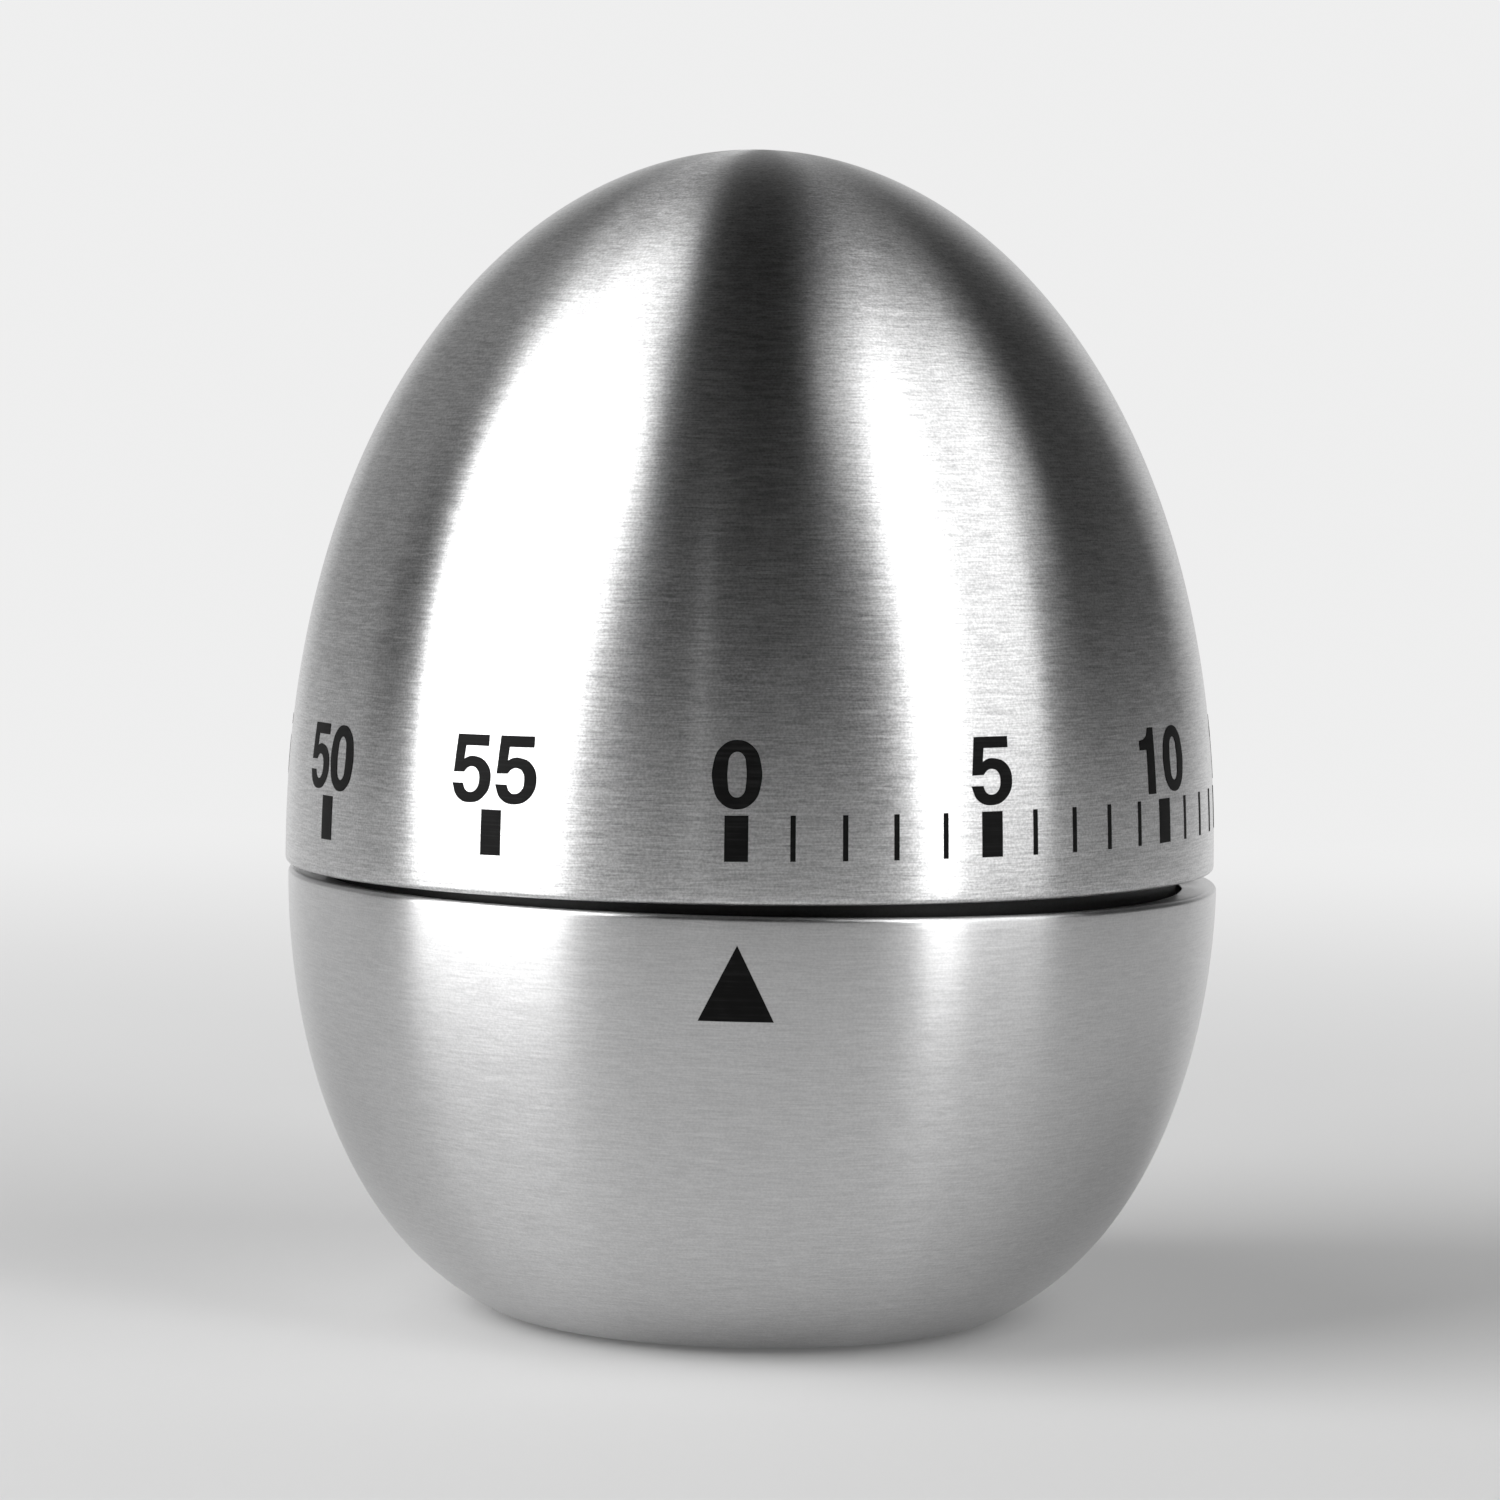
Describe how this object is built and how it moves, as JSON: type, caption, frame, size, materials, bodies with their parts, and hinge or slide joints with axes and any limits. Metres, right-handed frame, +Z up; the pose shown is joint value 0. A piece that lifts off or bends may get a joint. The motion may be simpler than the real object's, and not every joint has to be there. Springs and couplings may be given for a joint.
{
  "type": "kitchen timer",
  "caption": "Egg-shaped wind-up kitchen timer: two brushed steel shells, a turning dial top, a spring movement and a bell inside.",
  "frame": {"origin": "centre of the foot pad's underside, on the axis that the dial turns about", "axes": "+Z up along the egg's axis, the pointer on the lower shell faces -Y, +X to its right"},
  "size_m": [0.06, 0.06, 0.0752],
  "materials": {
    "shell_steel": "circumferentially brushed",
    "rubber": "matt",
    "black_plastic": "moulded, slight sheen",
    "plate_steel": "zinc plated",
    "screw_steel": "zinc plated",
    "arbor_steel": "turned",
    "hard_steel": "blanked and tumbled",
    "spring_steel": "blued",
    "brass": "blanked",
    "bell_steel": "nickel plated"
  },
  "bodies": {
    "case": {"lower_shell": "shell_steel", "base_pad": "rubber", "base_screws": "screw_steel", "movement_cup": "black_plastic", "bottom_plate": "plate_steel", "top_plate": "plate_steel", "pillars": "arbor_steel", "pillar_screws": "screw_steel", "movement_screws": "screw_steel", "stop_pin": "arbor_steel", "bell": "bell_steel", "bell_screw": "screw_steel", "hammer_spring_post": "arbor_steel", "hammer_spring": "spring_steel", "hairspring_stud": "arbor_steel", "hairspring": "spring_steel", "lever_post": "arbor_steel", "lever_spring": "spring_steel"},
    "dial": {"upper_shell": "shell_steel", "dial_insert": "black_plastic", "winding_arbor": "arbor_steel", "ratchet_wheel": "hard_steel", "release_cam": "hard_steel", "stop_arm": "plate_steel"},
    "great_wheel_group": {"great_wheel": "brass", "click_rivet": "arbor_steel", "click_spring": "spring_steel"},
    "click_group": {"click": "hard_steel"},
    "second_group": {"second_wheel": "brass", "second_pinion": "arbor_steel"},
    "third_group": {"third_wheel": "brass", "third_pinion": "arbor_steel"},
    "escape_group": {"escape_wheel": "hard_steel", "escape_pinion": "arbor_steel"},
    "pallet_group": {"pallet_lever": "hard_steel", "pallet_pins": "arbor_steel", "pallet_arbor": "arbor_steel"},
    "balance_group": {"balance_wheel": "brass", "balance_staff": "arbor_steel", "impulse_pin": "arbor_steel", "hairspring_collet": "brass"},
    "barrel_group": {"barrel": "brass", "barrel_cover": "plate_steel", "mainspring": "spring_steel"},
    "star_group": {"star_wheel": "hard_steel", "strike_pinion": "arbor_steel"},
    "hammer_group": {"hammer_arbor": "arbor_steel", "hammer_arm": "plate_steel", "hammer_head": "brass", "hammer_pallet": "hard_steel"},
    "release_group": {"release_lever": "plate_steel", "lock_pin": "arbor_steel"}
  },
  "joints": [
    {"name": "dial_turn", "type": "hinge", "parent": "case", "child": "dial", "pos_m": [0, 0, 0.02805], "axis": [0, 0, -1], "range_deg": [0, 354], "deforming": ["mainspring"]},
    {"name": "great_wheel_turn", "type": "hinge", "parent": "case", "child": "great_wheel_group", "pos_m": [0, 0, 0.018], "axis": [0, 0, -1], "continuous": true},
    {"name": "click_rock", "type": "hinge", "parent": "great_wheel_group", "child": "click_group", "pos_m": [-0.00716, -0.00075, 0.019], "axis": [0, 0, 1], "range_deg": [-2, 8], "stiffness_Nm_per_rad": 0.0001},
    {"name": "second_wheel_turn", "type": "hinge", "parent": "case", "child": "second_group", "pos_m": [-0.00998, 0.00576, 0.0204], "axis": [0, 0, -1], "continuous": true},
    {"name": "third_wheel_turn", "type": "hinge", "parent": "case", "child": "third_group", "pos_m": [-0.0121, -0.00352, 0.0222], "axis": [0, 0, -1], "continuous": true},
    {"name": "escape_wheel_turn", "type": "hinge", "parent": "case", "child": "escape_group", "pos_m": [-0.00947, -0.0115, 0.0134], "axis": [0, 0, -1], "continuous": true},
    {"name": "pallet_rock", "type": "hinge", "parent": "case", "child": "pallet_group", "pos_m": [-0.00402, -0.01466, 0.0149], "axis": [0, 0, 1], "range_deg": [-4, 4]},
    {"name": "balance_swing", "type": "hinge", "parent": "case", "child": "balance_group", "pos_m": [0.00334, -0.01277, 0.0204], "axis": [0, 0, 1], "range_deg": [-140, 140], "stiffness_Nm_per_rad": 0.0000007, "deforming": ["hairspring"]},
    {"name": "barrel_turn", "type": "hinge", "parent": "case", "child": "barrel_group", "pos_m": [0, 0, 0.0116], "axis": [0, 0, -1], "range_deg": [0, 1080]},
    {"name": "star_wheel_turn", "type": "hinge", "parent": "case", "child": "star_group", "pos_m": [0.01083, 0.00394, 0.0204], "axis": [0, 0, -1], "range_deg": [-7560, 0]},
    {"name": "hammer_swing", "type": "hinge", "parent": "case", "child": "hammer_group", "pos_m": [0.01255, 0.00927, 0.0091], "axis": [0, 0, 1], "range_deg": [-3, 3], "stiffness_Nm_per_rad": 0.0005, "deforming": ["hammer_spring"]},
    {"name": "release_lever_rock", "type": "hinge", "parent": "case", "child": "release_group", "pos_m": [0.01212, -0.007, 0.0253], "axis": [0, 0, 1], "range_deg": [-5, 0], "stiffness_Nm_per_rad": 0.0005}
  ],
  "couplings": [
    {"joint": "great_wheel_turn", "follows": "dial_turn", "ratio": 1},
    {"joint": "second_wheel_turn", "follows": "dial_turn", "ratio": -7},
    {"joint": "third_wheel_turn", "follows": "dial_turn", "ratio": 42},
    {"joint": "escape_wheel_turn", "follows": "dial_turn", "ratio": -252},
    {"joint": "star_wheel_turn", "follows": "barrel_turn", "ratio": -7}
  ]
}
